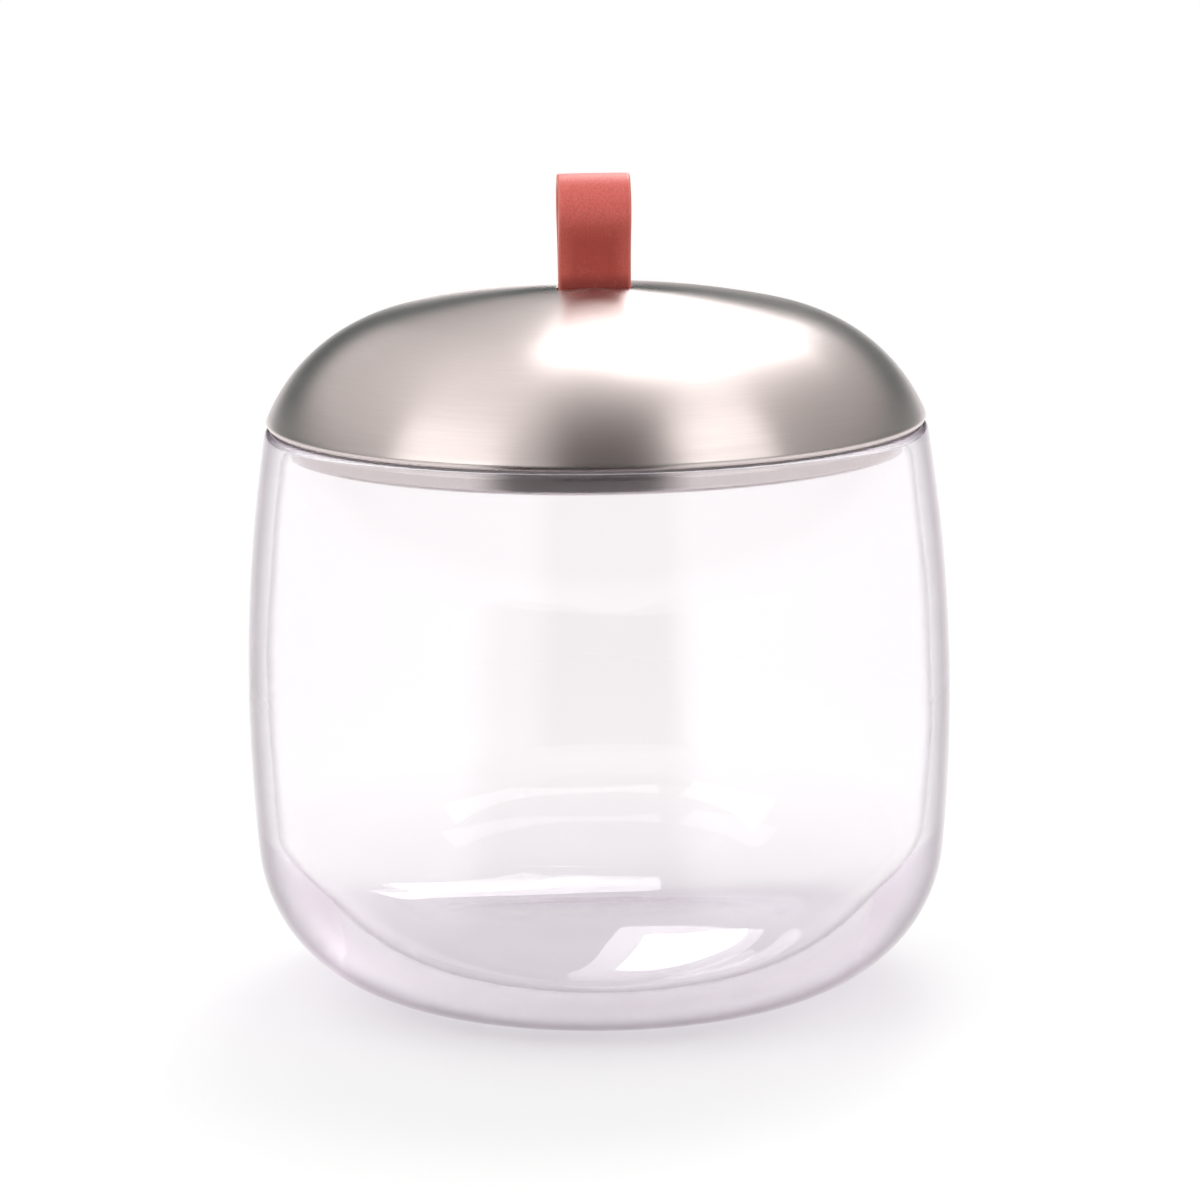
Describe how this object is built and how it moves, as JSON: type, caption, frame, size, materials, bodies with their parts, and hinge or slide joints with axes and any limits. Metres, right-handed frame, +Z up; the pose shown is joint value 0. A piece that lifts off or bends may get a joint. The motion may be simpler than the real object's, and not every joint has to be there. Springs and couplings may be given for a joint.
{
  "type": "capsule container",
  "caption": "Round glass jar with a thick rounded bottom and a domed steel drop-in lid that lifts by a folded leather strap.",
  "frame": {"origin": "under the middle of the jar, at the level that its base stands on", "axes": "+Z up along the jar's axis, the strap's broad faces towards -Y (front) and +Y"},
  "size_m": [0.155, 0.155, 0.1797],
  "materials": {
    "clear_glass": "clear, fire-polished",
    "seal_silicone": "matt grey silicone",
    "satin_steel": "satin, finely turned",
    "liner_steel": "bright drawn sheet",
    "strap_leather": "smooth coral red leather",
    "fixing_steel": "plain"
  },
  "bodies": {
    "jar": {"glass_jar": "clear_glass"},
    "seal": {"seal_ring": "seal_silicone"},
    "lid": {"dome_shell": "satin_steel", "liner_pan": "liner_steel", "strap_tails": "strap_leather", "front_clamp": "fixing_steel", "rear_clamp": "fixing_steel", "strap_rivets": "fixing_steel", "weld_studs": "fixing_steel", "stud_washers": "fixing_steel", "stud_nuts": "fixing_steel"},
    "strap": {"strap_loop": "strap_leather"}
  },
  "joints": [
    {"name": "lid_lift", "type": "slide", "parent": "jar", "child": "seal", "axis": [0, 0, 1], "range_m": [0, 0.08]},
    {"name": "lid_swivel", "type": "hinge", "parent": "seal", "child": "lid", "pos_m": [0, 0, 0.1255], "axis": [0, 0, 1], "continuous": true},
    {"name": "strap_lean", "type": "hinge", "parent": "lid", "child": "strap", "pos_m": [0, 0, 0.1559], "axis": [1, 0, 0], "range_deg": [-45, 45], "stiffness_Nm_per_rad": 0.02}
  ]
}
